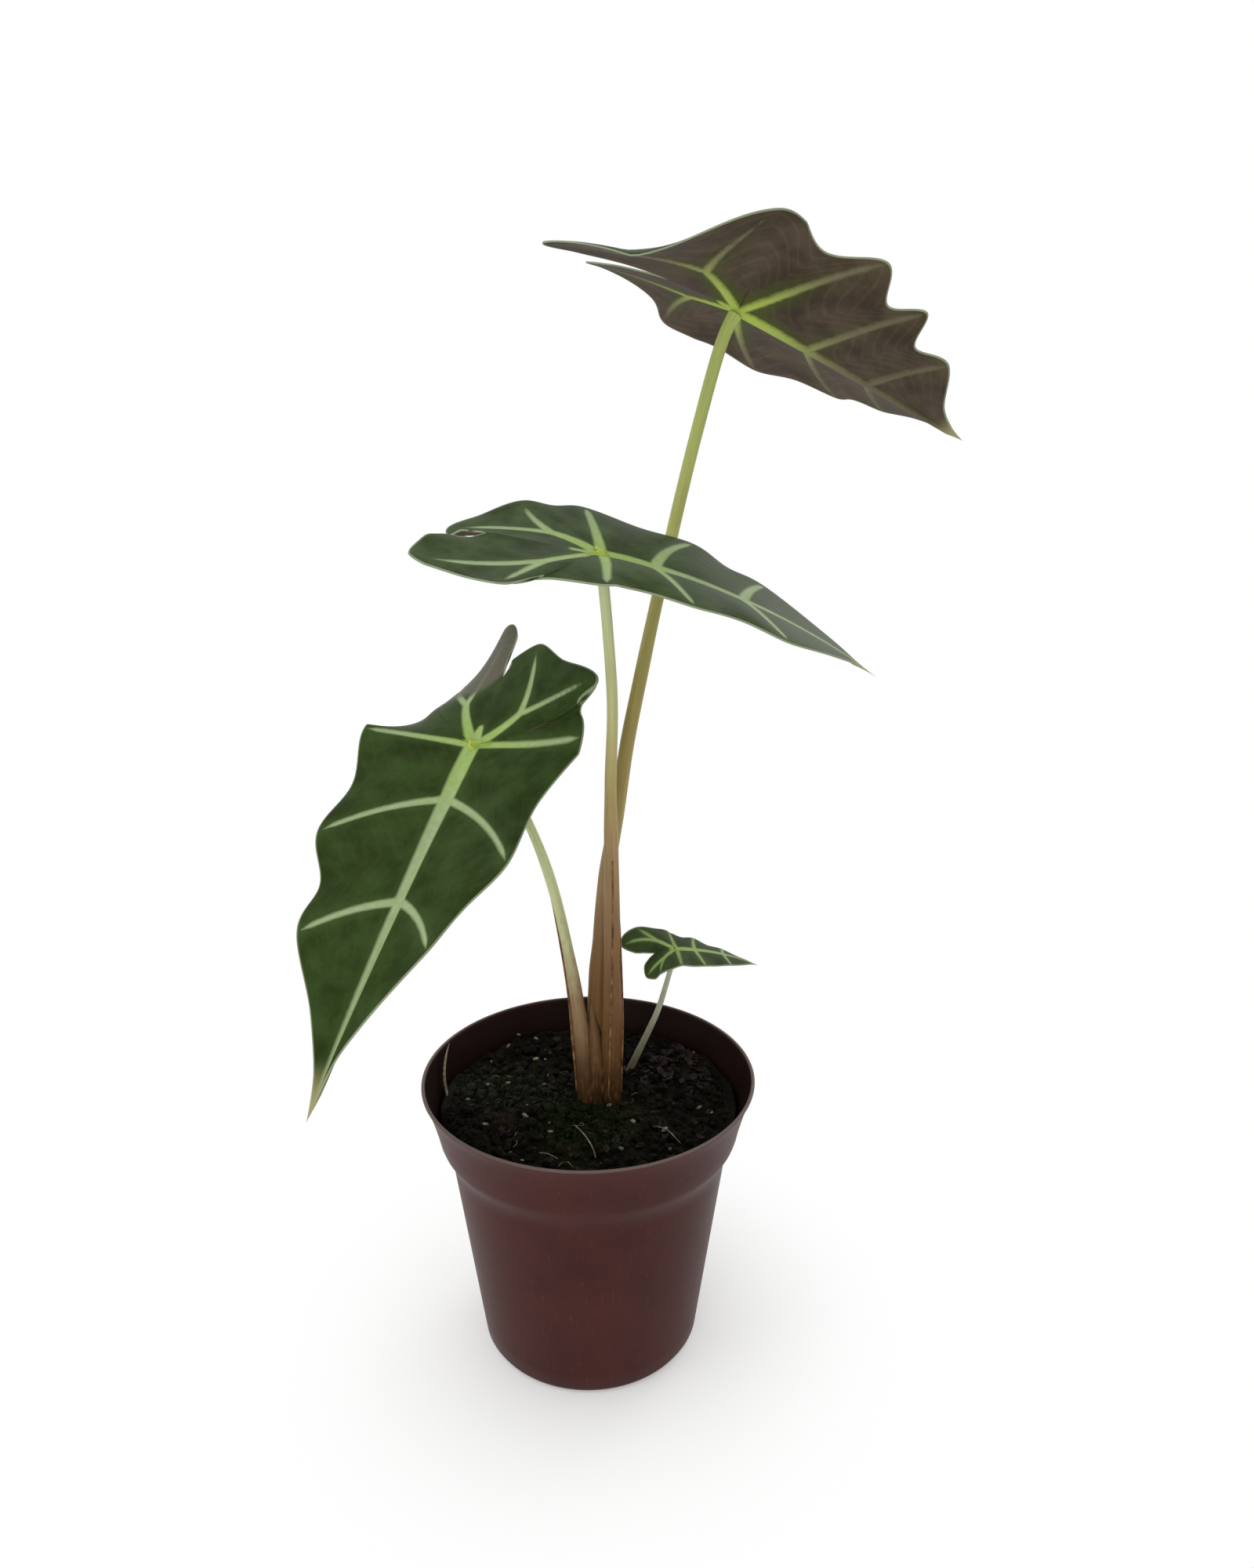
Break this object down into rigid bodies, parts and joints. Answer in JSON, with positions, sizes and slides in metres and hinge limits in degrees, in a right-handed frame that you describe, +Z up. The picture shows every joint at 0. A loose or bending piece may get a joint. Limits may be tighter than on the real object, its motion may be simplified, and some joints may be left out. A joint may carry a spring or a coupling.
{
  "type": "potted alocasia plant",
  "caption": "Potted alocasia: dark arrow-shaped leaves with pale veins on long stalks, standing in a round brown plastic nursery pot filled with soil.",
  "frame": {"origin": "centre of the flat underside of the pot", "axes": "+Z up along the pot's axis, +X to the right and +Y away from the viewer in the front view"},
  "size_m": [0.2147, 0.1642, 0.3873],
  "materials": {
    "pot_plastic": "thin red-brown polypropylene, satin",
    "potting_soil": "moist dark peat with fibres, crumbs and a little moss",
    "petiole": "smooth fleshy stalk, pale green turning tan towards the foot",
    "leaf_blade": "leathery dark green leaf with pale silvery-green veins and a purple-brown underside"
  },
  "bodies": {
    "root": {"pot": "pot_plastic", "soil": "potting_soil", "petiole_top": "petiole", "petiole_middle": "petiole", "petiole_left": "petiole", "petiole_small": "petiole", "blade_top": "leaf_blade", "blade_middle": "leaf_blade", "blade_left": "leaf_blade", "blade_small": "leaf_blade"}
  },
  "joints": []
}
